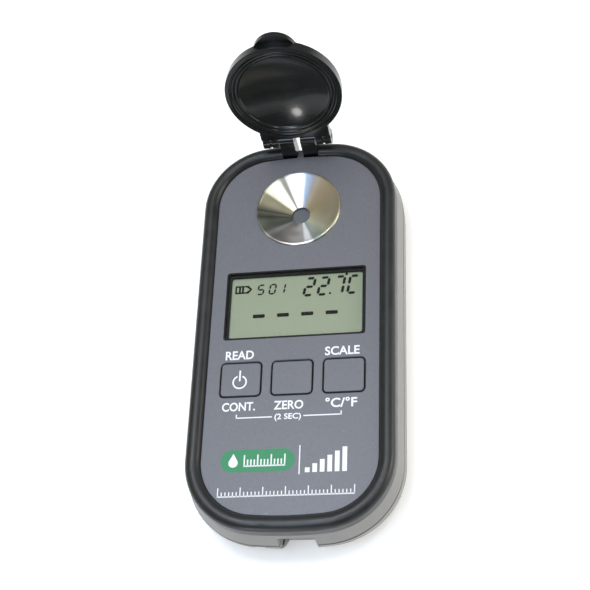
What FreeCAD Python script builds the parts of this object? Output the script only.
"""Handheld digital refractometer with a flip-up light shield over its sample well.

Row frame: origin in the middle of the back face that the instrument rests on, X to the
right across the keys, Y along the case towards the hinge, Z up out of the face panel.
All sizes are millimetres and come from the spreadsheet.
"""
import FreeCAD, Part
import math
import os
import Sketcher
from FreeCAD import Vector
from types import SimpleNamespace

doc = FreeCAD.newDocument("refractometer")

# ---------------------------------------------------------------- driving dimensions
DIMENSIONS = [
    # alias, value, meaning
    ("case_half_width", 29.3, "half the case's width at the parting line"),
    ("case_half_length", 60.2, "half the case's length at the parting line"),
    ("case_corner", 21.3, "corner radius of the case outline"),
    ("end_radius", 110.0, "radius of the slightly arched ends"),
    ("parting_z", 9.5, "height of the joint between the two shells"),
    ("shoulder_z", 15.2, "top of the tapered wall, where the bumper ring sits"),
    ("shoulder_inset", 1.15, "how far the wall leans in from parting line to shoulder"),
    ("panel_z", 18.0, "height of the face panel"),
    ("panel_thick", 1.4, "face plate thickness"),
    ("deck_thick", 1.8, "front shell's deck under the face plate"),
    ("flange_z", 13.2, "underside of the thick flange under the bumper ring"),
    ("inset", 3.8, "how much narrower the hollow is above that flange"),
    ("panel_half_width", 23.7, "half the face panel's width"),
    ("panel_half_length", 54.65, "half the face panel's length"),
    ("panel_corner", 15.3, "corner radius of the face panel"),
    ("ring_width", 4.25, "width of the bumper ring seen from the front"),
    ("ring_top_z", 19.4, "crest of the bumper ring"),
    ("ring_round", 2.0, "rounding of the ring's crest"),
    ("joint_gap", 0.05, "gap between fixed pieces that only meet"),
    ("floor", 2.2, "floor thickness of the back shell"),
    ("cavity_half_width", 26.6, "half width of the hollow inside the shells"),
    ("cavity_half_length", 53.4, "half length of the hollow inside the shells"),
    ("cavity_corner", 15.0, "corner radius of the hollow"),
    ("back_round", 4.0, "rounding of the back shell's long bottom edges"),
    ("end_round", 9.2, "rounding of the back shell's ends seen from the side"),
    ("vee", 0.3, "chamfer that makes the shadow line at the parting"),
    ("notch_left", -3.6, "left side of the notch in the bottom end"),
    ("notch_right", 7.0, "right side of the notch in the bottom end"),
    ("notch_depth", 4.2, "depth of the notch along Y"),
    ("notch_top_z", 13.6, "upper end of the notch"),
    ("eye_radius", 1.1, "radius of the lanyard eye"),
    ("eye_y", -57.8, "lanyard eye's axis along Y"),
    ("eye_z", 6.4, "lanyard eye's axis above the back"),
    ("eye_pocket_left", -10.6, "left side of the pocket that the lanyard comes out of"),
    ("eye_pocket_right", -7.6, "right side of that pocket"),
    ("screw_top_x", 18.5, "upper pair of case screws from the centre line"),
    ("screw_low_x", 14.5, "lower pair of case screws from the centre line"),
    ("screw_top_y", 49.0, "upper pair of case screws"),
    ("screw_low_y", -51.6, "lower pair of case screws"),
    ("screw_shank", 1.0, "case screw shank radius"),
    ("screw_head", 2.1, "case screw head radius"),
    ("boss_radius", 2.9, "radius of the screw bosses"),
    ("well_y", 36.94, "sample well's axis"),
    ("well_rim", 12.3, "sample well's rim radius"),
    ("well_body", 11.2, "radius of the well where it passes through the deck"),
    ("well_rim_z", 18.55, "top of the well's rim"),
    ("well_hole", 2.7, "radius of the prism window at the bottom of the well"),
    ("well_floor_z", 14.3, "height of the bottom of the cone"),
    ("lip_z", 13.6, "underside of the lip that the prism sits under"),
    ("well_base_z", 12.3, "underside of the well's boss"),
    ("prism_pocket", 5.0, "radius of the pocket for the prism"),
    ("window_half_width", 19.8, "half width of the display window"),
    ("window_top_y", 17.0, "upper edge of the display window"),
    ("window_low_y", -4.2, "lower edge of the display window"),
    ("glass_side", 1.4, "how far the display glass runs past the window's sides"),
    ("glass_above", 1.7, "how far the display glass runs past the window's upper edge"),
    ("glass_below", 2.5, "how far the display glass runs past the window's lower edge"),
    ("bezel_wall", 0.4, "wall of the dark bezel in the window"),
    ("bezel_mask", 1.1, "width of the bezel's dark frame over the glass"),
    ("lcd_top_z", 16.1, "top of the display glass"),
    ("lcd_thick", 1.9, "display glass thickness"),
    ("key_pitch", 14.12, "spacing of the keys"),
    ("key_y", -16.17, "keys' centre line"),
    ("key_half_width", 5.4, "half width of a key cap"),
    ("key_half_height", 4.75, "half height of a key cap"),
    ("key_gap", 0.4, "gap round a key cap"),
    ("key_corner", 1.0, "corner radius of a key cap"),
    ("key_top_z", 18.05, "top of the key caps"),
    ("key_flange_z", 13.95, "underside of the key flanges"),
    ("board_top_z", 12.9, "top of the main board"),
    ("board_thick", 1.2, "board thickness"),
    ("board_half_width", 24.6, "half width of the main board"),
    ("board_top_y", 23.0, "upper edge of the main board"),
    ("board_low_y", -29.0, "lower edge of the main board"),
    ("hinge_y", 57.76, "hinge axis along Y"),
    ("hinge_z", 23.12, "hinge axis above the back"),
    ("pin_radius", 0.75, "hinge pin radius"),
    ("knuckle", 2.2, "knuckle radius"),
    ("post_outer", 5.2, "outer side of the hinge posts"),
    ("post_inner", 0.95, "inner side of the hinge posts"),
    ("arm_inner", 5.5, "inner side of the lid's knuckles"),
    ("arm_outer", 10.05, "outer side of the lid's knuckles"),
    ("lid_reach", 20.82, "hinge axis to the lid's centre"),
    ("lid_drop", 4.83, "hinge axis to the rim plane, lid closed"),
    ("lid_rim", 16.38, "lid's outer radius at the rim"),
    ("lid_back", 16.2, "lid's outer radius at its back"),
    ("lid_height", 3.12, "height of the lid's side wall"),
    ("lid_angle", 102.9, "how far the lid stands open at rest, degrees"),
    ("battery_y", -38.0, "battery's axis along Y"),
    ("battery_z", 7.5, "battery's axis above the back"),
    ("battery_radius", 5.2, "battery radius"),
    ("door_left", 24.2, "half width of the battery door"),
    ("door_top_y", -31.0, "upper edge of the battery door"),
    ("door_low_y", -48.4, "lower edge of the battery door"),
    ("door_corner", 5.0, "length cut off the door's two lower corners"),
    ("door_thick", 1.3, "thickness of the door's outer plate"),
    ("door_screw_y", -46.4, "door screw's axis"),
    ("door_plug", 22.3, "half width of the door's plug"),
    ("bay_half", 5.7, "half the battery bay's mouth along Y"),
    ("seal_inset", 0.95, "case seal's outer side from the case's long sides"),
    ("seal_end_inset", 5.0, "case seal's outer side from the case's ends"),
    ("seal_corner", 17.6, "corner radius of the case seal"),
    ("seal_width", 1.0, "width of the case seal's groove"),
    ("seal_depth", 0.45, "depth of the groove in each shell"),
    ("board_screw_x", 22.2, "board screws from the centre line"),
    ("board_screw_top_y", 21.0, "upper pair of board screws"),
    ("board_screw_low_y", -25.3, "lower pair of board screws"),
    ("small_shank", 0.7, "radius of the small screws' shanks"),
    ("small_head", 1.6, "radius of the small screws' heads"),
    ("block_half_x", 12.0, "half width of the optics block"),
    ("block_half_y", 8.0, "half depth of the optics block"),
    ("ear_x", 13.2, "optics block's ears from the well's axis along X"),
    ("ear_y", 6.2, "optics block's ears from the well's axis along Y"),
    ("block_low_z", 2.3, "underside of the optics block"),
    ("block_top_z", 12.2, "top of the optics block"),
    ("beam_rise", 0.513, "climb of the light path towards the prism"),
    ("beam_run", 0.858, "run of the light path towards the prism"),
    ("beam_x", 2.3, "where the light path meets the prism, from the axis"),
    ("beam_z", 10.9, "height where the light path meets the prism"),
    ("bracket_screw_x", 3.1, "bracket screws from the centre line"),
    ("bracket_screw_y", 57.3, "bracket screws along Y"),
]


class Dim:
    """A size that carries its value together with the spreadsheet formula behind it."""

    def __init__(self, value, text):
        self.value = float(value)
        self.text = text

    def __add__(self, other):
        other = as_dim(other)
        return Dim(self.value + other.value, f"({self.text} + {other.text})")

    def __sub__(self, other):
        other = as_dim(other)
        return Dim(self.value - other.value, f"({self.text} - {other.text})")

    def __mul__(self, other):
        other = as_dim(other)
        return Dim(self.value * other.value, f"({self.text} * {other.text})")

    def __truediv__(self, other):
        other = as_dim(other)
        return Dim(self.value / other.value, f"({self.text} / {other.text})")

    def __radd__(self, other):
        return as_dim(other) + self

    def __rsub__(self, other):
        return as_dim(other) - self

    def __rmul__(self, other):
        return as_dim(other) * self

    def __neg__(self):
        return Dim(-self.value, f"(0 - {self.text})")


def as_dim(number):
    """Wrap a plain number, so that it can stand in a formula."""
    if isinstance(number, Dim):
        return number
    return Dim(number, f"({number:g})" if number < 0 else f"{number:g}")


def make_sheet():
    """Write the driving dimensions into the spreadsheet and return them by name."""
    sheet = doc.addObject("Spreadsheet::Sheet", "Sheet")
    named = {}
    for row, (alias, value, meaning) in enumerate(DIMENSIONS, start=1):
        sheet.set(f"A{row}", meaning)
        sheet.set(f"B{row}", str(value))
        sheet.setAlias(f"B{row}", alias)
        named[alias] = Dim(value, f"Sheet.{alias}")
    doc.recompute()
    return SimpleNamespace(**named)


D = make_sheet()


# ---------------------------------------------------------------- drawing helpers
def bind(feature, path, size):
    """Tie one property of a feature to its formula in the spreadsheet."""
    feature.setExpression(path, as_dim(size).text)


def sketch_on(body, name, plane="XY", offset=0, shift=(0, 0)):
    """An empty sketch on one of the body's own planes, moved along and across it."""
    sketch = body.newObject("Sketcher::SketchObject", f"{body.Name}_{name}")
    support = next(o for o in body.Origin.OriginFeatures if o.Role == f"{plane}_Plane")
    sketch.AttachmentSupport = [(support, "")]
    sketch.MapMode = "FlatFace"
    for axis, size in zip("xyz", (*shift, offset)):
        size = as_dim(size)
        setattr(sketch.AttachmentOffset.Base, axis, size.value)
        if size.text != "0":
            bind(sketch, f"AttachmentOffset.Base.{axis}", size)
    return sketch


def hold(sketch, kind, *refs, size=None):
    """Add one constraint, and tie its size to the spreadsheet where it has one."""
    if size is None:
        return sketch.addConstraint(Sketcher.Constraint(kind, *refs))
    size = as_dim(size)
    index = sketch.addConstraint(Sketcher.Constraint(kind, *refs, size.value))
    bind(sketch, f"Constraints[{index}]", size)
    return index


def pin_point(sketch, geo, end, x, y):
    """Fix one point of the sketch at x, y from the sketch's origin."""
    for kind, axis, size in (("DistanceX", -2, as_dim(x)), ("DistanceY", -1, as_dim(y))):
        if size.value == 0:
            hold(sketch, "PointOnObject", geo, end, axis)
        else:
            hold(sketch, kind, -1, 1, geo, end, size=size)


def polygon(sketch, points):
    """Closed outline of straight lines through points given as sizes."""
    spots = [Vector(as_dim(x).value, as_dim(y).value, 0) for x, y in points]
    first = sketch.GeometryCount
    count = len(spots)
    for i, spot in enumerate(spots):
        sketch.addGeometry(Part.LineSegment(spot, spots[(i + 1) % count]))
    for i in range(count):
        hold(sketch, "Coincident", first + i, 2, first + (i + 1) % count, 1)
    for i, (x, y) in enumerate(points):
        pin_point(sketch, first + i, 1, x, y)
    return sketch


def arc(centre, radius, start_deg, end_deg):
    """Arc drawn anticlockwise between two angles."""
    whole = Part.Circle(centre, Vector(0, 0, 1), radius)
    return Part.ArcOfCircle(whole, math.radians(start_deg), math.radians(end_deg))


def bowl_outline(sketch, points):
    """Closed outline whose last and first points are joined by an arc centred on the V axis."""
    spots = [Vector(as_dim(x).value, as_dim(y).value, 0) for x, y in points]
    first = sketch.GeometryCount
    last = first + len(spots) - 2
    for start, end in zip(spots, spots[1:]):
        sketch.addGeometry(Part.LineSegment(start, end))
    for geo in range(first, last):
        hold(sketch, "Coincident", geo, 2, geo + 1, 1)
    for i, (x, y) in enumerate(points[:-1]):
        pin_point(sketch, first + i, 1, x, y)
    pin_point(sketch, last, 2, *points[-1])
    rim, pole = spots[0], spots[-1]
    centre = (rim.x ** 2 + rim.y ** 2 - pole.y ** 2) / (2 * (rim.y - pole.y))
    start_deg = math.degrees(math.atan2(rim.y - centre, rim.x))
    bowl = sketch.addGeometry(arc(Vector(0, centre, 0), pole.y - centre, start_deg, 90))
    hold(sketch, "Coincident", bowl, 1, first, 1)
    hold(sketch, "Coincident", bowl, 2, last, 2)
    hold(sketch, "PointOnObject", bowl, 3, -2)
    return sketch


def box_outline(sketch, x0, x1, y0, y1):
    """Rectangle between two opposite corners."""
    return polygon(sketch, [(x0, y0), (x1, y0), (x1, y1), (x0, y1)])


def circle(sketch, x, y, radius):
    """Circle about x, y."""
    x, y, radius = as_dim(x), as_dim(y), as_dim(radius)
    geo = sketch.addGeometry(Part.Circle(Vector(x.value, y.value, 0), Vector(0, 0, 1), radius.value))
    pin_point(sketch, geo, 3, x, y)
    hold(sketch, "Radius", geo, size=radius)
    return sketch


def rounded_box(sketch, x0, x1, y0, y1, radius):
    """Rectangle with four equal rounded corners."""
    x0, x1, y0, y1, radius = (as_dim(size) for size in (x0, x1, y0, y1, radius))
    left, right, low, high, r = x0.value, x1.value, y0.value, y1.value, radius.value
    first = sketch.GeometryCount
    sketch.addGeometry([
        Part.LineSegment(Vector(left + r, low, 0), Vector(right - r, low, 0)),
        arc(Vector(right - r, low + r, 0), r, 270, 360),
        Part.LineSegment(Vector(right, low + r, 0), Vector(right, high - r, 0)),
        arc(Vector(right - r, high - r, 0), r, 0, 90),
        Part.LineSegment(Vector(right - r, high, 0), Vector(left + r, high, 0)),
        arc(Vector(left + r, high - r, 0), r, 90, 180),
        Part.LineSegment(Vector(left, high - r, 0), Vector(left, low + r, 0)),
        arc(Vector(left + r, low + r, 0), r, 180, 270),
    ])
    for i in range(8):
        hold(sketch, "Tangent", first + i, 2, first + (i + 1) % 8, 1)
    for side in (0, 4):
        hold(sketch, "Horizontal", first + side)
    for side in (2, 6):
        hold(sketch, "Vertical", first + side)
    for corner in (3, 5, 7):
        hold(sketch, "Equal", first + 1, first + corner)
    hold(sketch, "Radius", first + 1, size=radius)
    hold(sketch, "DistanceY", -1, 1, first, 1, size=y0)
    hold(sketch, "DistanceX", -1, 1, first + 2, 1, size=x1)
    hold(sketch, "DistanceY", -1, 1, first + 4, 1, size=y1)
    hold(sketch, "DistanceX", -1, 1, first + 6, 1, size=x0)
    return sketch


def case_outline(sketch, half_width, half_length, corner):
    """The case's outline: straight sides, round corners and slightly arched ends."""
    half_width, half_length, corner = (as_dim(size) for size in (half_width, half_length, corner))
    w, l, r, big = half_width.value, half_length.value, corner.value, D.end_radius.value
    first = sketch.GeometryCount
    end_y = l - big
    corner_x = w - r
    corner_y = end_y + math.sqrt((big - r) ** 2 - corner_x ** 2)
    lean = math.degrees(math.atan2(corner_x, corner_y - end_y))
    sketch.addGeometry([
        Part.LineSegment(Vector(w, -corner_y, 0), Vector(w, corner_y, 0)),
        arc(Vector(corner_x, corner_y, 0), r, 0, 90 - lean),
        arc(Vector(0, end_y, 0), big, 90 - lean, 90 + lean),
        arc(Vector(-corner_x, corner_y, 0), r, 90 + lean, 180),
        Part.LineSegment(Vector(-w, corner_y, 0), Vector(-w, -corner_y, 0)),
        arc(Vector(-corner_x, -corner_y, 0), r, 180, 270 - lean),
        arc(Vector(0, -end_y, 0), big, 270 - lean, 270 + lean),
        arc(Vector(corner_x, -corner_y, 0), r, 270 + lean, 360),
    ])
    for i in range(8):
        hold(sketch, "Tangent", first + i, 2, first + (i + 1) % 8, 1)
    for side in (0, 4):
        hold(sketch, "Vertical", first + side)
    for other in (3, 5, 7):
        hold(sketch, "Equal", first + 1, first + other)
    hold(sketch, "Equal", first + 2, first + 6)
    hold(sketch, "Radius", first + 1, size=corner)
    hold(sketch, "Radius", first + 2, size=D.end_radius)
    hold(sketch, "DistanceX", -1, 1, first, 1, size=half_width)
    pin_point(sketch, first + 2, 3, 0, half_length - D.end_radius)
    pin_point(sketch, first + 6, 3, 0, D.end_radius - half_length)
    return sketch


# ---------------------------------------------------------------- feature helpers
def new_body(name, x=0, y=0, z=0):
    """A sub-part with its own label and place."""
    body = doc.addObject("PartDesign::Body", name)
    body.Label = name
    body.AllowCompound = True
    body.Placement.Base = Vector(*(as_dim(size).value for size in (x, y, z)))
    for axis, size in zip("xyz", (x, y, z)):
        if isinstance(size, Dim):
            bind(body, f"Placement.Base.{axis}", size)
    return body


def feature(body, kind, sketch, name):
    """One sketch-based feature of a body."""
    made = body.newObject(f"PartDesign::{kind}", f"{body.Name}_{name}")
    made.Profile = sketch
    sketch.Visibility = False
    return made


def pad(sketch, name, length, reverse=False, both=False):
    """Material from the sketch along its normal."""
    made = feature(sketch.getParentGeoFeatureGroup(), "Pad", sketch, name)
    made.Length = as_dim(length).value
    bind(made, "Length", length)
    made.Reversed = reverse
    if both:
        made.SideType = "Symmetric"
    return made


def pocket(sketch, name, length, reverse=False, both=False):
    """A cut from the sketch against its normal; reverse cuts along the normal."""
    made = feature(sketch.getParentGeoFeatureGroup(), "Pocket", sketch, name)
    made.Length = as_dim(length).value
    bind(made, "Length", length)
    made.Reversed = reverse
    if both:
        made.SideType = "Symmetric"
    return made


def turned(sketch, name, cut=False):
    """Material, or a cut, turned about the sketch's own vertical axis."""
    kind = "Groove" if cut else "Revolution"
    made = feature(sketch.getParentGeoFeatureGroup(), kind, sketch, name)
    made.ReferenceAxis = (sketch, ["V_Axis"])
    made.Angle = 360
    return made


def edges_where(shape, test):
    """Names of the edges that a test picks."""
    return [f"Edge{i}" for i, edge in enumerate(shape.Edges, start=1) if test(edge)]


def at_height(z):
    """A test for edges that lie wholly at one height of the body's own frame."""
    level = as_dim(z).value
    return lambda edge: abs(edge.BoundBox.ZMin - level) < 1e-4 and abs(edge.BoundBox.ZMax - level) < 1e-4


def soften(base, name, size, test, kind="Fillet"):
    """Round or chamfer the edges of the last feature that a test picks."""
    doc.recompute()
    body = base.getParentGeoFeatureGroup()
    made = body.newObject(f"PartDesign::{kind}", f"{body.Name}_{name}")
    made.Base = (base, edges_where(base.Shape, test))
    path = "Radius" if kind == "Fillet" else "Size"
    setattr(made, path, as_dim(size).value)
    bind(made, path, size)
    return made


def screw_points():
    """Places of the four case screws."""
    pairs = ((D.screw_top_x, D.screw_top_y), (D.screw_low_x, D.screw_low_y))
    return [(side * x, y) for x, y in pairs for side in (-1, 1)]


# ---------------------------------------------------------------- the two shells
def inset_outline(sketch, inset):
    """The case outline moved inwards."""
    return case_outline(sketch, D.case_half_width - inset, D.case_half_length - inset, D.case_corner - inset)


def seal_outline(sketch, shift):
    """The case seal's path: close to the long sides, further in at the ends to pass the notch."""
    return case_outline(sketch, D.case_half_width - D.seal_inset - shift,
                        D.case_half_length - D.seal_end_inset - shift, D.seal_corner - shift)


def seal_groove(body, z, deeper):
    """Half of the case seal's groove, in one shell's parting face."""
    sketch = seal_outline(sketch_on(body, "seal_groove", offset=z), 0)
    seal_outline(sketch, D.seal_width)
    return pocket(sketch, "seal_groove_cut", D.seal_depth, reverse=not deeper)


def round_inset(radius, z):
    """How far a quarter-round edge of this radius lies inside the wall at a height."""
    radius, z = as_dim(radius), as_dim(z)
    if z.value >= radius.value:
        return as_dim(0)
    drop = radius - z
    depth = radius.value - math.sqrt(radius.value ** 2 - drop.value ** 2)
    return Dim(depth, f"({radius.text} - sqrt(({radius.text})^2 - ({drop.text})^2))")


def back_block(body):
    """Solid outer form of the back shell: long edges and ends rounded towards the back."""
    rings = []
    for i, z in enumerate([0, 0.3, 0.9, 1.8, 3.0, 4.6, 6.6, D.parting_z - D.vee, D.parting_z]):
        level = as_dim(z)
        side = round_inset(D.back_round, level)
        end = round_inset(D.end_round, level)
        corner = D.case_corner - side - (end - side) * 0.4
        if level.value == D.parting_z.value:
            side = end = as_dim(D.vee)
        sketch = sketch_on(body, f"block{i}", offset=level)
        rings.append(case_outline(sketch, D.case_half_width - side, D.case_half_length - end, corner))
    block = feature(body, "AdditiveLoft", rings[0], "block")
    block.Sections = rings[1:]
    block.Ruled = True
    return block


def notch(body, top, depth):
    """The notch in the middle of the bottom end, cut down from a height."""
    edge = -D.case_half_length
    flare = 1.2
    sketch = polygon(sketch_on(body, "notch", offset=top), [
        (D.notch_left + flare, edge + D.notch_depth),
        (D.notch_left, edge - 1),
        (D.notch_right, edge - 1),
        (D.notch_right - flare, edge + D.notch_depth),
    ])
    return pocket(sketch, "notch_cut", depth)


def door_outline(sketch, grow):
    """The battery door's outline, its lower corners cut to stay inside the rounded case end."""
    side, top, low = D.door_left + grow, D.door_top_y + grow, D.door_low_y - grow
    corner = D.door_corner + grow * 0.59
    nick = 1.2 + grow * 0.59
    right = [(side - corner, low), (side, low + corner), (side, top - nick), (side - nick, top)]
    return polygon(sketch, right + [(-x, y) for x, y in reversed(right)])


def back_shell():
    """Rear casing: a tray with screw bosses, the battery bay, the notch and the lanyard eye."""
    body = new_body("back_shell")
    back_block(body)
    deep_z = 4.4
    hollow = case_outline(sketch_on(body, "hollow", offset=D.parting_z), D.cavity_half_width,
                          D.cavity_half_length, D.cavity_corner)
    pocket(hollow, "hollow_cut", D.parting_z - deep_z)
    deep = case_outline(sketch_on(body, "deep", offset=deep_z + 0.1), D.cavity_half_width,
                        D.cavity_half_length - 1.4, D.cavity_corner)
    pocket(deep, "deep_cut", deep_z + 0.1 - D.floor)
    bosses = sketch_on(body, "bosses", offset=D.floor - 0.2)
    for x, y in screw_points():
        circle(bosses, x, y, D.boss_radius)
    circle(bosses, 0, D.door_screw_y, 2.2)
    pad(bosses, "bosses_pad", D.parting_z - D.floor)
    rib_thick = 1.2
    ribs = sketch_on(body, "bay_ribs", offset=D.floor - 0.2)
    for x in (-26.7, 23.2):
        box_outline(ribs, x, x + rib_thick, D.battery_y - D.bay_half, D.battery_y + D.bay_half)
    for y in (D.battery_y - D.bay_half - rib_thick, D.battery_y + D.bay_half):
        for x in (-22, 4):
            box_outline(ribs, x, x + 18, y, y + rib_thick)
    pad(ribs, "bay_ribs_pad", 6.3)
    shanks = sketch_on(body, "shanks", offset=D.parting_z + 0.1)
    heads = sketch_on(body, "heads", offset=3.0)
    for x, y in screw_points():
        circle(shanks, x, y, D.screw_shank + 0.15)
        circle(heads, x, y, D.screw_head + 0.25)
    pocket(shanks, "shank_holes", 12)
    pocket(heads, "head_holes", 6)
    recess = door_outline(sketch_on(body, "door_recess", offset=D.door_thick + 0.1), 0.15)
    pocket(recess, "door_recess_cut", 3)
    mouth = box_outline(sketch_on(body, "bay_mouth", offset=D.floor + 0.05), -23.2, 23.2,
                        D.battery_y - D.bay_half, D.battery_y + D.bay_half)
    pocket(mouth, "bay_mouth_cut", 3)
    pocket(circle(sketch_on(body, "door_hole", offset=7.6), 0, D.door_screw_y, 1.08), "door_hole_cut", 9)
    seal_groove(body, D.parting_z, deeper=True)
    notch(body, D.parting_z + 1, 20)
    exit_side = box_outline(sketch_on(body, "eye_pocket", "XZ", D.case_half_length + 1), D.eye_pocket_left,
                            D.eye_pocket_right, D.eye_z - 1.4, D.eye_z + 1.4)
    pocket(exit_side, "eye_pocket_cut", D.case_half_length + 1 + D.eye_y + D.eye_radius)
    eye = circle(sketch_on(body, "eye", "YZ", D.notch_left + 2), D.eye_y, D.eye_z, D.eye_radius)
    pocket(eye, "eye_cut", D.notch_left + 2 - D.eye_pocket_left - 0.5)
    return body


def board_screw_points():
    """Places of the four board screws."""
    return [(side * D.board_screw_x, y) for y in (D.board_screw_top_y, D.board_screw_low_y)
            for side in (-1, 1)]


def ear_points():
    """Places of the optics block's two ears."""
    return [(side * D.ear_x, D.well_y + side * D.ear_y) for side in (-1, 1)]


def front_shell():
    """Front casing: a wall that leans in to the ring's seat, and a deck with openings."""
    body = new_body("front_shell")
    deck_top = D.panel_z - D.panel_thick
    deck_low = deck_top - D.deck_thick
    edge = 0.35
    levels = [(D.parting_z, D.vee), (D.parting_z + D.vee, 0.06), (D.shoulder_z - edge, D.shoulder_inset),
              (D.shoulder_z, D.shoulder_inset + edge)]
    rings = [inset_outline(sketch_on(body, f"wall{i}", offset=z), inset)
             for i, (z, inset) in enumerate(levels)]
    wall = feature(body, "AdditiveLoft", rings[0], "wall")
    wall.Sections = rings[1:]
    wall.Ruled = True
    slack = 0.15
    deck = case_outline(sketch_on(body, "deck", offset=D.shoulder_z - 1), D.panel_half_width - slack,
                        D.panel_half_length - slack, D.panel_corner - slack)
    pad(deck, "deck_pad", deck_top - D.shoulder_z + 1)
    wide = case_outline(sketch_on(body, "hollow", offset=D.parting_z - 0.1), D.cavity_half_width,
                        D.cavity_half_length, D.cavity_corner)
    pocket(wide, "hollow_cut", D.flange_z - D.parting_z + 0.1, reverse=True)
    narrow = case_outline(sketch_on(body, "upper", offset=D.flange_z - 0.1), D.cavity_half_width - D.inset,
                          D.cavity_half_length - D.inset, D.cavity_corner - D.inset)
    pocket(narrow, "upper_cut", deck_low - D.flange_z + 0.1, reverse=True)
    bosses = sketch_on(body, "bosses", offset=D.parting_z)
    for x, y in screw_points():
        circle(bosses, x, y, D.boss_radius)
    pad(bosses, "bosses_pad", deck_low - D.parting_z + 0.2)
    stubs = sketch_on(body, "stubs", offset=D.board_top_z + 0.05)
    for x, y in board_screw_points():
        circle(stubs, x, y, 1.9)
    for x, y in ear_points():
        circle(stubs, x, y, 1.8)
    pad(stubs, "stubs_pad", deck_low - D.board_top_z + 0.1)
    ear_posts = sketch_on(body, "ear_posts", offset=D.block_top_z + 0.05)
    for x, y in ear_points():
        circle(ear_posts, x, y, 1.7)
    pad(ear_posts, "ear_posts_pad", 1.2)
    taps = sketch_on(body, "taps", offset=D.parting_z - 0.1)
    for x, y in screw_points():
        circle(taps, x, y, D.screw_shank + 0.04)
    pocket(taps, "taps_cut", 4.2, reverse=True)
    small_taps = sketch_on(body, "small_taps", offset=D.block_top_z - 0.1)
    for x, y in board_screw_points() + ear_points():
        circle(small_taps, x, y, D.small_shank + 0.04)
    pocket(small_taps, "small_taps_cut", 2.4, reverse=True)
    openings = sketch_on(body, "openings", offset=deck_top + 0.1)
    rounded_box(openings, -D.window_half_width - D.glass_side - 0.4, D.window_half_width + D.glass_side + 0.4,
                D.window_low_y - D.glass_below - 0.4, D.window_top_y + D.glass_above + 0.25, 1)
    for side in (-1, 0, 1):
        key_hole(openings, side * D.key_pitch)
    circle(openings, 0, D.well_y, D.well_body + slack)
    pocket(openings, "openings_cut", D.deck_thick + 0.4)
    seal_groove(body, D.parting_z, deeper=False)
    notch(body, D.notch_top_z, 8)
    bracket_holes = sketch_on(body, "bracket_holes", offset=D.shoulder_z + 0.1)
    bracket_heads = sketch_on(body, "bracket_heads", offset=D.parting_z - 0.1)
    for side in (-1, 1):
        circle(bracket_holes, side * D.bracket_screw_x, D.bracket_screw_y, 0.95)
        circle(bracket_heads, side * D.bracket_screw_x, D.bracket_screw_y, 1.85)
    pocket(bracket_holes, "bracket_holes_cut", 8)
    pocket(bracket_heads, "bracket_heads_cut", 2.6, reverse=True)
    return body


def key_hole(sketch, x):
    """Opening for one key, about its centre."""
    half_x = D.key_half_width + D.key_gap
    half_y = D.key_half_height + D.key_gap
    return rounded_box(sketch, x - half_x, x + half_x, D.key_y - half_y, D.key_y + half_y,
                       D.key_corner + D.key_gap)


def case_seal():
    """Soft cord that fills the grooves of both shells."""
    body = new_body("case_seal")
    play = 0.06
    sketch = sketch_on(body, "ring", offset=D.parting_z - D.seal_depth + play)
    seal_outline(sketch, play)
    seal_outline(sketch, D.seal_width - play)
    pad(sketch, "ring_pad", D.seal_depth * 2 - 2 * play)
    return body


def screw_set(name, points, shank, head, seat_z, tip_z, head_height):
    """Upright screws with their heads below, each with a cross recess."""
    body = new_body(name)
    shanks = sketch_on(body, "shanks", offset=seat_z - 0.1)
    heads = sketch_on(body, "heads", offset=seat_z - head_height)
    for x, y in points:
        circle(shanks, x, y, shank)
        circle(heads, x, y, head)
    pad(heads, "heads_pad", head_height)
    pad(shanks, "shanks_pad", tip_z - seat_z + 0.1)
    for turn, (arm, width) in enumerate(((0.62, 0.16), (0.16, 0.62))):
        sketch = sketch_on(body, f"cross{turn}", offset=seat_z - head_height - 0.1)
        for x, y in points:
            box_outline(sketch, x - head * arm, x + head * arm, y - head * width, y + head * width)
        pocket(sketch, f"cross_cut{turn}", head_height * 0.5 + 0.1, reverse=True)
    return body


# ---------------------------------------------------------------- front of the case
def bumper_ring():
    """Rounded ring round the face, broken at the top for the hinge bracket."""
    body = new_body("bumper_ring")
    inner = D.joint_gap
    outer = inner + D.ring_width
    low = D.shoulder_z + D.joint_gap
    sketch = sketch_on(body, "ring", offset=low)
    for grow in (outer, inner):
        case_outline(sketch, D.panel_half_width + grow, D.panel_half_length + grow, D.panel_corner + grow)
    ring = pad(sketch, "ring_pad", D.ring_top_z - low)
    soften(ring, "crest", D.ring_round, at_height(D.ring_top_z))
    half_gap = D.post_outer + 0.1
    gap = box_outline(sketch_on(body, "gap", offset=25), -half_gap, half_gap, 50, 62)
    pocket(gap, "gap_cut", 12)
    return body


def face_plate():
    """Grey panel with the window, the key openings, the well's hole and the hinge tongue."""
    body = new_body("face_plate")
    low = D.panel_z - D.panel_thick + D.joint_gap
    thick = D.panel_z - low
    plate = pad(case_outline(sketch_on(body, "plate", offset=low), D.panel_half_width, D.panel_half_length,
                             D.panel_corner), "plate_pad", thick)
    soften(plate, "bevel", 0.25, at_height(D.panel_z))
    tongue = box_outline(sketch_on(body, "tongue", offset=low), -0.85, 0.85, 52, 57.1)
    pad(tongue, "tongue_pad", thick)
    openings = sketch_on(body, "openings", offset=D.panel_z + 0.1)
    rounded_box(openings, -D.window_half_width, D.window_half_width, D.window_low_y, D.window_top_y, 0.8)
    for side in (-1, 0, 1):
        key_hole(openings, side * D.key_pitch)
    circle(openings, 0, D.well_y, D.well_body + 0.1)
    cut = pocket(openings, "openings_cut", 3)
    soften(cut, "key_edges", 0.2, key_opening_edge, "Chamfer")
    return body


def key_opening_edge(edge):
    """True for the upper edges of the three key openings."""
    on_top = at_height(D.panel_z)(edge)
    return on_top and abs(edge.CenterOfMass.y - D.key_y.value) < D.key_half_height.value + 1


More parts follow.
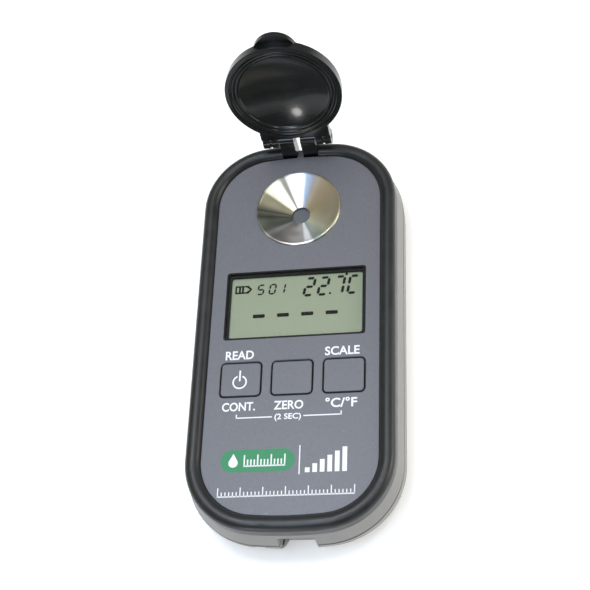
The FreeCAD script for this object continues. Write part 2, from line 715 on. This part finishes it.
def display_bezel():
    """Dark collar that lines the window and masks the edge of the glass."""
    body = new_body("display_bezel")
    low = D.lcd_top_z + D.joint_gap
    ledge = D.lcd_top_z + 0.85
    deck_top = D.panel_z - D.panel_thick
    w = D.window_half_width
    flange = box_outline(sketch_on(body, "flange", offset=low), -w - D.glass_side, w + D.glass_side,
                         D.window_low_y - D.glass_below, D.window_top_y + D.glass_above)
    pad(flange, "flange_pad", deck_top - low)
    steps = ((D.joint_gap, low, D.panel_z - 0.12 - low, "collar", True),
             (D.bezel_wall, D.panel_z, D.panel_z - ledge, "seat", False),
             (D.bezel_mask, D.panel_z, 4, "mask", False))
    for inset, level, depth, name, adds in steps:
        sketch = rounded_box(sketch_on(body, name, offset=level), -w + inset, w - inset,
                             D.window_low_y + inset, D.window_top_y - inset, 0.8)
        if adds:
            pad(sketch, f"{name}_pad", depth)
        else:
            pocket(sketch, f"{name}_cut", depth)
    return body


def display_lens():
    """Clear window in the bezel."""
    body = new_body("display_lens")
    inset = D.bezel_wall + 0.05
    low = D.lcd_top_z + 0.88
    sketch = rounded_box(sketch_on(body, "pane", offset=low), -D.window_half_width + inset,
                         D.window_half_width - inset, D.window_low_y + inset, D.window_top_y - inset, 0.75)
    pad(sketch, "pane_pad", 0.8)
    return body


def key(name, side):
    """Square key cap on a flange that the deck keeps in."""
    body = new_body(name, side * D.key_pitch, D.key_y, 0)
    lip = 0.9
    flange_thick = 0.7
    x, y = D.key_half_width, D.key_half_height
    flange = rounded_box(sketch_on(body, "flange", offset=D.key_flange_z), -x - lip, x + lip,
                         -y - lip, y + lip, 1.2)
    pad(flange, "flange_pad", flange_thick)
    start = D.key_flange_z + flange_thick - 0.1
    cap = rounded_box(sketch_on(body, "cap", offset=start), -x, x, -y, y, D.key_corner)
    cap = pad(cap, "cap_pad", D.key_top_z - start)
    soften(cap, "edge", 0.2, at_height(D.key_top_z))
    return body


# ---------------------------------------------------------------- electronics
def key_domes():
    """Snap domes on the board, one under each key."""
    body = new_body("key_domes")
    low = D.board_top_z + D.joint_gap
    plates = sketch_on(body, "plates", offset=low)
    domes = sketch_on(body, "domes", offset=low + 0.15)
    for side in (-1, 0, 1):
        x = side * D.key_pitch
        box_outline(plates, x - 3.1, x + 3.1, D.key_y - 3.1, D.key_y + 3.1)
        circle(domes, x, D.key_y, 2.3)
    pad(plates, "plates_pad", 0.2)
    pad(domes, "domes_pad", 0.24)
    return body


def slab(name, x0, x1, y0, y1, low, thick):
    """Plain block between two corners and two heights."""
    body = new_body(name)
    pad(box_outline(sketch_on(body, "plan", offset=low), x0, x1, y0, y1), "block", thick)
    return body


def main_board():
    """Circuit board under the keys and the display."""
    body = new_body("main_board")
    low = D.board_top_z - D.board_thick
    plan = rounded_box(sketch_on(body, "plan", offset=low), -D.board_half_width, D.board_half_width,
                       D.board_low_y, D.board_top_y, 1.5)
    pad(plan, "plan_pad", D.board_thick)
    holes = sketch_on(body, "holes", offset=D.board_top_z + 0.1)
    for x, y in board_screw_points():
        circle(holes, x, y, 0.85)
    pocket(holes, "holes_cut", 3)
    return body


def lcd_glass():
    """Display glass: a wide lower pane with a slightly shorter upper one."""
    body = new_body("lcd_glass")
    low = D.lcd_top_z - D.lcd_thick
    half = D.window_half_width + D.glass_side
    bottom, top = D.window_low_y - D.glass_below, D.window_top_y + D.glass_above
    pad(box_outline(sketch_on(body, "lower", offset=low), -half, half, bottom, top), "lower_pad", 1.0)
    upper = box_outline(sketch_on(body, "upper", offset=low + 0.9), -half, half, bottom + 1.8, top)
    pad(upper, "upper_pad", D.lcd_thick - 0.9)
    return body


def lcd_carrier():
    """Frame that holds the display glass above the board."""
    body = new_body("lcd_carrier")
    low = D.board_top_z + D.joint_gap
    half = D.window_half_width + D.glass_side
    sketch = box_outline(sketch_on(body, "frame", offset=low), -half, half,
                         D.window_low_y - D.glass_below, D.window_top_y + D.glass_above)
    box_outline(sketch, -18.9, 18.9, D.window_low_y - 1.5, D.window_top_y)
    pad(sketch, "frame_pad", D.lcd_top_z - D.lcd_thick - D.joint_gap - low)
    return body


# ---------------------------------------------------------------- sample well and optics
def sample_well():
    """Turned steel dish: a cone that runs down to the prism window."""
    body = new_body("sample_well", 0, D.well_y, 0)
    rim = D.well_rim
    foot = D.prism_pocket + 2.2
    turned(polygon(sketch_on(body, "section", "XZ"), [
        (D.well_hole, D.well_floor_z),
        (rim - 0.8, D.well_rim_z - 0.2),
        (rim - 0.5, D.well_rim_z),
        (rim - 0.15, D.well_rim_z - 0.1),
        (rim, D.panel_z + 0.25),
        (rim, D.panel_z + 0.02),
        (D.well_body, D.panel_z + 0.02),
        (D.well_body, 16.4),
        (D.well_body - 0.7, 16.4),
        (D.well_body - 0.7, 15.4),
        (D.well_body, 15.4),
        (D.well_body, 14.9),
        (foot, 13.2),
        (foot, D.well_base_z),
        (D.prism_pocket, D.well_base_z),
        (D.prism_pocket, D.lip_z),
        (D.well_hole, D.lip_z),
    ]), "turning")
    return body


def turned_ring(name, inner, outer, low, high):
    """Flat ring about the sample well's axis."""
    body = new_body(name, 0, D.well_y, 0)
    turned(box_outline(sketch_on(body, "section", "XZ"), inner, outer, low, high), "turning")
    return body


def prism():
    """Measuring prism: flat face up, two slanted sides for the light."""
    body = new_body("prism", 0, D.well_y, 0)
    section = polygon(sketch_on(body, "section", "XZ"), [
        (-3.4, 13.25), (-3.4, 12.6), (-1.2, 9.2), (1.2, 9.2), (3.4, 12.6), (3.4, 13.25)])
    pad(section, "section_pad", 6.4, both=True)
    return body


def beam_point(side, distance, across=0):
    """A point on the light path, in the section through the prism."""
    along_x = D.beam_x + D.beam_run * distance
    return (side * (along_x + D.beam_rise * across), D.beam_z - D.beam_rise * distance + D.beam_run * across)


def optics_block():
    """Black block that holds the prism, the lamp and the sensor at their angles."""
    body = new_body("optics_block", 0, D.well_y, 0)
    tall = D.block_top_z - D.block_low_z
    main = box_outline(sketch_on(body, "main", offset=D.block_low_z), -D.block_half_x, D.block_half_x,
                       -D.block_half_y, D.block_half_y)
    pad(main, "main_pad", tall)
    ear_thick = 2
    ears = sketch_on(body, "ears", offset=D.block_top_z - ear_thick)
    for side in (-1, 1):
        y = side * D.ear_y
        rounded_box(ears, side * D.ear_x - 2, side * D.ear_x + 2, y - 1.75, y + 1.75, 1)
    pad(ears, "ears_pad", ear_thick)
    holes = sketch_on(body, "ear_holes", offset=D.block_top_z + 0.1)
    for side in (-1, 1):
        circle(holes, side * D.ear_x, side * D.ear_y, 0.85)
    pocket(holes, "ear_holes_cut", ear_thick + 0.2)
    head_room = sketch_on(body, "head_room", offset=D.block_top_z - ear_thick)
    for side in (-1, 1):
        circle(head_room, side * D.ear_x, side * D.ear_y, D.small_head + 0.2)
    pocket(head_room, "head_room_cut", 12)
    seat = box_outline(sketch_on(body, "seat", offset=D.block_top_z + 0.1), -3.8, 3.8, -3.6, 3.6)
    pocket(seat, "seat_cut", D.block_top_z - 8.7)
    half_bore = 2.1
    for side, name in ((-1, "lamp"), (1, "sensor")):
        channel = polygon(sketch_on(body, f"{name}_channel", "XZ"), [
            beam_point(side, -1, -half_bore), beam_point(side, 13, -half_bore),
            beam_point(side, 13, half_bore), beam_point(side, -1, half_bore)])
        pocket(channel, f"{name}_channel_cut", 2 * half_bore, both=True)
    recess = box_outline(sketch_on(body, "sensor_recess", "YZ", D.block_half_x + 0.1), -3.2, 3.2, 2.7, 7.4)
    pocket(recess, "sensor_recess_cut", 1)
    return body


def on_beam(body, side, distance):
    """Place a turned piece on the light path, its nose towards the prism."""
    x, z = beam_point(side, distance)
    lean = Dim(math.degrees(math.atan2(D.beam_run.value, D.beam_rise.value)),
               f"atan2({D.beam_run.text}; {D.beam_rise.text})")
    body.Placement.Rotation = FreeCAD.Rotation(Vector(0, -side, 0), lean.value)
    bind(body, "Placement.Base.x", x)
    bind(body, "Placement.Base.y", D.well_y)
    bind(body, "Placement.Base.z", z)
    return body


def led_emitter():
    """Small lamp with a flange, a round nose and two leads."""
    body = new_body("led_emitter")
    turned(polygon(sketch_on(body, "section", "XZ"), [
        (0, 0), (1.9, 0), (1.9, 0.8), (1.5, 0.8), (1.5, 3.7), (1.3, 4.4), (0.8, 4.95), (0, 5.2)]), "turning")
    leads = sketch_on(body, "leads", offset=-2.3)
    for x in (-1.27, 0.83):
        box_outline(leads, x, x + 0.44, -0.22, 0.22)
    pad(leads, "leads_pad", 2.4)
    return on_beam(body, -1, 9.5)


def collimator_lens():
    """Lens between the lamp and the prism."""
    body = new_body("collimator_lens")
    turned(polygon(sketch_on(body, "section", "XZ"), [
        (0, -0.8), (0.8, -0.7), (1.5, -0.42), (1.95, -0.1), (1.95, 0.1), (1.5, 0.42), (0.8, 0.7), (0, 0.8)]),
        "turning")
    return on_beam(body, -1, 2.6)


# ---------------------------------------------------------------- hinge and lid
def hinge_bracket():
    """Black double post that carries the hinge pin."""
    body = new_body("hinge_bracket")
    low = D.shoulder_z + D.joint_gap
    front, rear = 55.0, 59.1
    under_tongue = D.panel_z - D.panel_thick - 0.05
    base = box_outline(sketch_on(body, "base", offset=low), -D.post_outer, D.post_outer, front, rear)
    pad(base, "base_pad", under_tongue - low)
    for side, name in ((1, "right"), (-1, "left")):
        start = D.post_inner if side > 0 else -D.post_outer
        post = polygon(sketch_on(body, f"{name}_post", "YZ", start), [
            (front, low), (rear, low), (D.hinge_y + D.knuckle, D.hinge_z),
            (D.hinge_y - D.knuckle, D.hinge_z), (front + 0.1, D.hinge_z - 2.6)])
        pad(post, f"{name}_post_pad", D.post_outer - D.post_inner)
        eye = circle(sketch_on(body, f"{name}_eye", "YZ", start), D.hinge_y, D.hinge_z, D.knuckle)
        pad(eye, f"{name}_eye_pad", D.post_outer - D.post_inner)
    bore = circle(sketch_on(body, "bore", "YZ"), D.hinge_y, D.hinge_z, D.pin_radius + 0.02)
    pocket(bore, "bore_cut", 20, both=True)
    slot = box_outline(sketch_on(body, "slot", offset=25), -D.post_inner, D.post_inner, 57.2, rear + 1)
    pocket(slot, "slot_cut", 12)
    taps = sketch_on(body, "taps", offset=low - 0.1)
    for side in (-1, 1):
        circle(taps, side * D.bracket_screw_x, D.bracket_screw_y, 0.84)
    pocket(taps, "taps_cut", 4, reverse=True)
    return body


def hinge_pins():
    """Two short steel pins, each through one post and the lid's knuckle beside it."""
    body = new_body("hinge_pins")
    root = D.post_inner + 0.1
    tip = D.arm_outer - 0.2
    for start, name in ((root, "right"), (-tip, "left")):
        end_face = sketch_on(body, name, "YZ", start)
        circle(end_face, D.hinge_y, D.hinge_z, D.pin_radius)
        pad(end_face, f"{name}_pad", tip - root)
    return body


def on_hinge(body):
    """Stand a lid piece, drawn closed about the hinge axis, at its resting angle."""
    body.Placement.Rotation = FreeCAD.Rotation(Vector(-1, 0, 0), D.lid_angle.value)
    bind(body, "Placement.Rotation.Angle", D.lid_angle)
    bind(body, "Placement.Base.y", D.hinge_y)
    bind(body, "Placement.Base.z", D.hinge_z)
    return body


def lid_shell():
    """Light shield: a shallow round cap with a neck, two knuckles and a thumb tab."""
    body = new_body("lid_shell")
    rim_z = -D.lid_drop
    back_z = rim_z + D.lid_height
    centre = (-D.lid_reach, 0)
    turned(polygon(sketch_on(body, "cap", "YZ", shift=centre), [
        (0, rim_z), (D.lid_rim - 0.15, rim_z), (D.lid_rim, rim_z + 0.15), (D.lid_back + 0.03, back_z),
        (D.lid_back - 0.35, back_z + 0.5), (D.lid_back - 1.1, back_z + 0.85),
        (D.lid_back * 0.7, back_z + 1.35), (D.lid_back * 0.35, back_z + 1.6), (0, back_z + 1.68),
    ]), "cap_turned")
    arm_z = -0.25
    neck = box_outline(sketch_on(body, "neck", offset=arm_z - 2.35), -D.arm_outer, D.arm_outer, -9.5, -2.75)
    pad(neck, "neck_pad", 2.35)
    for side, name in ((1, "right"), (-1, "left")):
        start = D.arm_inner if side > 0 else -D.arm_outer
        width = D.arm_outer - D.arm_inner
        arm = polygon(sketch_on(body, f"{name}_arm", "YZ", start), [
            (-3, arm_z - 2.35), (-1.2, -D.knuckle * 0.75), (0, -D.knuckle), (0, D.knuckle * 0.9),
            (-3, arm_z)])
        pad(arm, f"{name}_arm_pad", width)
        knuckle = circle(sketch_on(body, f"{name}_knuckle", "YZ", start), 0, 0, D.knuckle)
        pad(knuckle, f"{name}_knuckle_pad", width)
        groove = sketch_on(body, f"{name}_groove", "YZ", start + width / 2 - 0.3)
        circle(groove, 0, 0, D.knuckle + 1.2)
        circle(groove, 0, 0, D.knuckle - 0.35)
        pocket(groove, f"{name}_groove_cut", 0.6, reverse=True)
    tab = sketch_on(body, "tab", offset=back_z - 0.9)
    circle(tab, 0, -D.lid_reach - 12.65, 6.2)
    pad(tab, "tab_pad", 1.5)
    bore = circle(sketch_on(body, "bore", "YZ"), 0, 0, D.pin_radius + 0.06)
    pocket(bore, "bore_cut", 40, both=True)
    turned(polygon(sketch_on(body, "hollow", "YZ", shift=centre), [
        (0, rim_z - 1), (15.25, rim_z - 1), (15.25, rim_z + 2.3), (14.7, rim_z + 2.9),
        (8, rim_z + 3.7), (0, rim_z + 4.1)]), "hollow_cut", cut=True)
    return on_hinge(body)


def lid_liner():
    """Inner dish of the lid: a low ridge round a smooth shallow bowl."""
    body = new_body("lid_liner")
    rim_z = -D.lid_drop
    turned(bowl_outline(sketch_on(body, "dish", "YZ", shift=(-D.lid_reach, 0)), [
        (12.9, rim_z + 0.7), (13.15, rim_z + 0.5), (13.45, rim_z + 0.5), (13.75, rim_z + 0.3),
        (14.2, rim_z + 0.2), (15.15, rim_z + 0.2), (15.15, rim_z + 2.2), (14.6, rim_z + 2.8),
        (8, rim_z + 3.6), (0, rim_z + 4.0), (0, rim_z + 3.55)]), "dish_turned")
    return on_hinge(body)


# ---------------------------------------------------------------- battery bay
def battery_cell():
    """Small round cell, lying across the case."""
    body = new_body("battery_cell", -21.9, D.battery_y, D.battery_z)
    r = D.battery_radius
    turned(polygon(sketch_on(body, "section", "XZ"), [
        (0, 0), (r - 0.4, 0), (r, 0.4), (r, 42.8), (r - 0.5, 43.3), (1.9, 43.3), (1.9, 44.4), (0, 44.4)]),
        "turning")
    body.Placement.Rotation = FreeCAD.Rotation(Vector(0, 1, 0), 90)
    return body


def battery_spring():
    """Contact spring at the cell's flat end."""
    helix = doc.addObject("Part::Helix", "spring_line")
    helix.Radius = 3.6
    helix.Pitch = 1.0
    helix.Height = 2.4
    section = doc.addObject("Part::Circle", "spring_wire")
    section.Radius = 0.28
    section.Placement = FreeCAD.Placement(Vector(3.6, 0, 0), FreeCAD.Rotation(Vector(1, 0, 0), 90))
    coil = doc.addObject("Part::Sweep", "battery_spring")
    coil.Label = "battery_spring"
    coil.Sections = [section]
    coil.Spine = (helix, ["Edge1"])
    coil.Solid = True
    coil.Frenet = True
    coil.Placement = FreeCAD.Placement(Vector(-24.72, D.battery_y.value, D.battery_z.value),
                                       FreeCAD.Rotation(Vector(0, 1, 0), 90))
    return coil


def battery_door():
    """Flush cover of the battery bay, with a plug, a screw seat and a grip."""
    body = new_body("battery_door")
    low = 0.05
    plate = pad(door_outline(sketch_on(body, "plate", offset=low), 0), "plate_pad", D.door_thick - low)
    soften(plate, "edge", 0.6, at_height(low), kind="Chamfer")
    plug = box_outline(sketch_on(body, "plug", offset=D.door_thick - 0.1), -D.door_plug, D.door_plug,
                       D.battery_y - 5, D.battery_y + 5)
    pad(plug, "plug_pad", 0.8)
    pocket(circle(sketch_on(body, "hole", offset=5), 0, D.door_screw_y, 1.1), "hole_cut", 9)
    pocket(circle(sketch_on(body, "seat", offset=0.8), 0, D.door_screw_y, 2.2), "seat_cut", 3)
    grip = sketch_on(body, "grip", offset=0.5)
    for step in range(4):
        y = D.door_top_y - 2.4 - 1.3 * step
        box_outline(grip, -6, 6, y, y + 0.6)
    pocket(grip, "grip_cut", 2)
    return body


def door_seal():
    """Soft frame round the door's plug."""
    body = new_body("door_seal")
    sketch = sketch_on(body, "frame", offset=D.door_thick + 0.05)
    for grow in (0.75, 0.05):
        box_outline(sketch, -D.door_plug - grow, D.door_plug + grow, D.battery_y - 5 - grow * 0.8,
                    D.battery_y + 5 + grow * 0.8)
    pad(sketch, "frame_pad", 0.6)
    return body


def bent_tube(points, radius, bend):
    """Insulated wire: straight runs joined by tangent arcs."""
    edges = []
    start = points[0]
    for corner, after in zip(points[1:], points[2:]):
        to_start = (start - corner).normalize()
        to_after = (after - corner).normalize()
        half = to_start.getAngle(to_after) / 2
        reach = bend / math.tan(half)
        entry = corner + to_start * reach
        leave = corner + to_after * reach
        inward = (to_start + to_after).normalize()
        middle = corner + inward * (bend / math.sin(half) - bend)
        edges += [Part.LineSegment(start, entry).toShape(), Part.Arc(entry, middle, leave).toShape()]
        start = leave
    edges.append(Part.LineSegment(start, points[-1]).toShape())
    path = Part.Wire(edges)
    ring = Part.Wire(Part.makeCircle(radius, points[0], points[1] - points[0]))
    return path.makePipeShell([ring], True, False)


def battery_wires():
    """Two insulated wires from the battery contacts to the board."""
    y = D.battery_y.value
    routes = [[Vector(23.7, y, 9.6), Vector(23.7, y + 5, 9.6), Vector(23.7, y + 11.5, 11.15)],
              [Vector(-24.3, y, 12.3), Vector(-24.3, y + 3, 12.3), Vector(-24.0, y + 7.6, 11.15),
               Vector(-24.0, y + 11.5, 11.15)]]
    wires = doc.addObject("Part::Feature", "battery_wires")
    wires.Label = "battery_wires"
    wires.Shape = Part.makeCompound([bent_tube(route, 0.4, 2.5) for route in routes])
    return wires


# ---------------------------------------------------------------- assembly
def check_model(pieces):
    """Stop if any object failed, or if any sub-part's shape is missing or bad."""
    faults = [o.Name for o in doc.Objects if "Invalid" in o.State or "Error" in o.State]
    if faults:
        raise SystemExit(f"failed objects: {faults}")
    for piece in pieces:
        if piece.Shape.isNull() or not piece.Shape.isValid() or not piece.Shape.Solids:
            raise SystemExit(f"bad shape: {piece.Label}")


def build():
    """Make every sub-part."""
    board_low = D.board_top_z - D.board_thick - D.joint_gap
    bracket_points = [(side * D.bracket_screw_x, D.bracket_screw_y) for side in (-1, 1)]
    low_strip = D.window_low_y - 1.3
    plate_low = D.battery_z - 4.4
    return [
        back_shell(),
        front_shell(),
        case_seal(),
        screw_set("case_screws", screw_points(), D.screw_shank, D.screw_head, 3.0, 13.4, 1.5),
        bumper_ring(),
        face_plate(),
        display_bezel(),
        display_lens(),
        lcd_glass(),
        lcd_carrier(),
        slab("zebra_strip", -18.4, 18.4, low_strip, low_strip + 1.8, D.board_top_z + 0.02,
             D.lcd_top_z - D.lcd_thick - D.board_top_z - 0.04),
        main_board(),
        slab("mcu_chip", -5, 5, 0, 10, board_low - 1.4, 1.4),
        slab("board_connector", 10.7, 15.7, 19.0, 22.8, board_low - 3.2, 3.2),
        screw_set("board_screws", board_screw_points(), D.small_shank, D.small_head, board_low, 14.3, 0.95),
        key_domes(),
        key("read_key", -1),
        key("zero_key", 0),
        key("scale_key", 1),
        sample_well(),
        turned_ring("well_gasket", D.well_body - 0.65, D.well_body + 0.08, 15.45, 16.35),
        prism(),
        turned_ring("prism_seal", 2.9, 4.6, 13.3, 13.55),
        optics_block(),
        screw_set("optics_screws", ear_points(), D.small_shank, D.small_head,
                  D.block_top_z - 2.05, 14.2, 0.95),
        led_emitter(),
        collimator_lens(),
        slab("image_sensor", 11.2, 12.15, D.well_y - 3, D.well_y + 3, 2.9, 4.3),
        slab("sensor_board", 12.2, 13.0, D.well_y - 5, D.well_y + 4, 2.6, 7.3),
        slab("sensor_cable", 13.05, 13.2, 22.85, D.well_y - 1, 8.6, 1.2),
        slab("thermistor", -9.0, -8.0, D.well_y - 1.2, D.well_y + 1.2, D.block_top_z + 0.05, 0.8),
        hinge_bracket(),
        hinge_pins(),
        screw_set("bracket_screws", bracket_points, 0.8, 1.6, 12.0, 18.6, 1.1),
        lid_shell(),
        lid_liner(),
        battery_cell(),
        battery_spring(),
        slab("battery_minus_contact", -25.45, -25.1, D.battery_y - 4, D.battery_y + 4, plate_low, 9.4),
        slab("battery_plus_contact", 22.6, 23.0, D.battery_y - 4, D.battery_y + 4, plate_low, 8.6),
        battery_wires(),
        battery_door(),
        door_seal(),
        screw_set("door_screw", [(0, D.door_screw_y)], 1.0, 2.0, 0.7, 7.0, 0.6),
    ]


parts = build()
doc.recompute()
check_model(parts)
os.makedirs("parts", exist_ok=True)
for part in parts:
    part.Shape.exportStep(f"parts/{part.Label}.step")
print(len(parts), "nodes")
